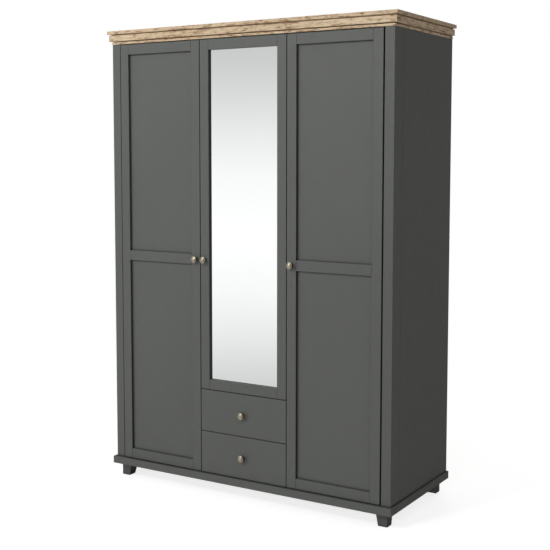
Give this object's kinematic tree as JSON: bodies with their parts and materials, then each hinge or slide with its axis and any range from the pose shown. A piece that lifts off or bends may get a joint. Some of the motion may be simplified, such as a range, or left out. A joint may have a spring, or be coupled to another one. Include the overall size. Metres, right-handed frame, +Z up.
{
  "type": "wardrobe",
  "caption": "Free-standing wardrobe: panelled hinged doors either side of a mirror door over drawers, stepped wooden cornice, plinth on tapered legs, shelves and hanging rails inside.",
  "frame": {"origin": "on the floor, at the middle of the rectangle that the whole wardrobe covers", "axes": "+X to the right seen from the front, +Y from the front to the back, +Z up; the doors face -Y"},
  "size_m": [1.454, 0.618, 2.07],
  "materials": {
    "green_paint": "matt dark green-grey paint on smooth board",
    "oak": "matt aged oak with brown streaks",
    "mirror_glass": "silvered glass",
    "aged_brass": "antiqued brass, brown in the hollows, worn bright on the edges",
    "nickel": "nickel plated pressed steel",
    "chrome": "bright chromed tube",
    "grey_foil": "light grey foil with a fine linen print",
    "hardboard": "thin hardboard, lacquered green-grey"
  },
  "bodies": {
    "carcass": {"side_panel_left": "green_paint", "side_panel_right": "green_paint", "corner_post_left": "green_paint", "corner_post_right": "green_paint", "divider_left": "green_paint", "divider_right": "green_paint", "base_panel": "green_paint", "top_panel": "green_paint", "back_panel": "hardboard", "plinth_frame": "green_paint", "leg_front_left": "green_paint", "leg_front_right": "green_paint", "leg_rear_left": "green_paint", "leg_rear_right": "green_paint", "cornice_board": "oak", "cornice_front": "oak", "cornice_left": "oak", "cornice_right": "oak", "drawer_deck": "green_paint", "centre_shelf_1": "green_paint", "centre_shelf_2": "green_paint", "hat_shelf_left": "green_paint", "hat_shelf_right": "green_paint", "hanging_rail_left": "chrome", "hanging_rail_right": "chrome", "left_door_hinge_arm_bottom": "nickel", "left_door_hinge_arm_top": "nickel", "right_door_hinge_arm_bottom": "nickel", "right_door_hinge_arm_top": "nickel", "mirror_door_hinge_arm_bottom": "nickel", "mirror_door_hinge_arm_top": "nickel"},
    "left_door": {"left_door_hinge_stile": "green_paint", "left_door_closing_stile": "green_paint", "left_door_top_rail": "green_paint", "left_door_bottom_rail": "green_paint", "left_door_middle_rail": "green_paint", "left_door_panel": "green_paint", "left_door_knob": "aged_brass"},
    "mirror_door": {"mirror_door_hinge_stile": "green_paint", "mirror_door_closing_stile": "green_paint", "mirror_door_top_rail": "green_paint", "mirror_door_bottom_rail": "green_paint", "mirror_door_glass": "mirror_glass", "mirror_door_backing": "hardboard", "mirror_door_knob": "aged_brass"},
    "right_door": {"right_door_hinge_stile": "green_paint", "right_door_closing_stile": "green_paint", "right_door_top_rail": "green_paint", "right_door_bottom_rail": "green_paint", "right_door_middle_rail": "green_paint", "right_door_panel": "green_paint", "right_door_knob": "aged_brass"},
    "upper_drawer": {"upper_drawer_front": "green_paint", "upper_drawer_box": "grey_foil", "upper_drawer_bottom": "hardboard", "upper_drawer_knob": "aged_brass"},
    "lower_drawer": {"lower_drawer_front": "green_paint", "lower_drawer_box": "grey_foil", "lower_drawer_bottom": "hardboard", "lower_drawer_knob": "aged_brass"}
  },
  "joints": [
    {"name": "left_door_hinge", "type": "hinge", "parent": "carcass", "child": "left_door", "pos_m": [-0.661, -0.284, 1.05], "axis": [0, 0, -1], "range_deg": [0, 100]},
    {"name": "mirror_door_hinge", "type": "hinge", "parent": "carcass", "child": "mirror_door", "pos_m": [0.21933, -0.284, 1.2], "axis": [0, 0, 1], "range_deg": [0, 100]},
    {"name": "right_door_hinge", "type": "hinge", "parent": "carcass", "child": "right_door", "pos_m": [0.661, -0.284, 1.05], "axis": [0, 0, 1], "range_deg": [0, 100]},
    {"name": "upper_drawer_slide", "type": "slide", "parent": "carcass", "child": "upper_drawer", "axis": [0, -1, 0], "range_m": [0, 0.34]},
    {"name": "lower_drawer_slide", "type": "slide", "parent": "carcass", "child": "lower_drawer", "axis": [0, -1, 0], "range_m": [0, 0.34]}
  ]
}
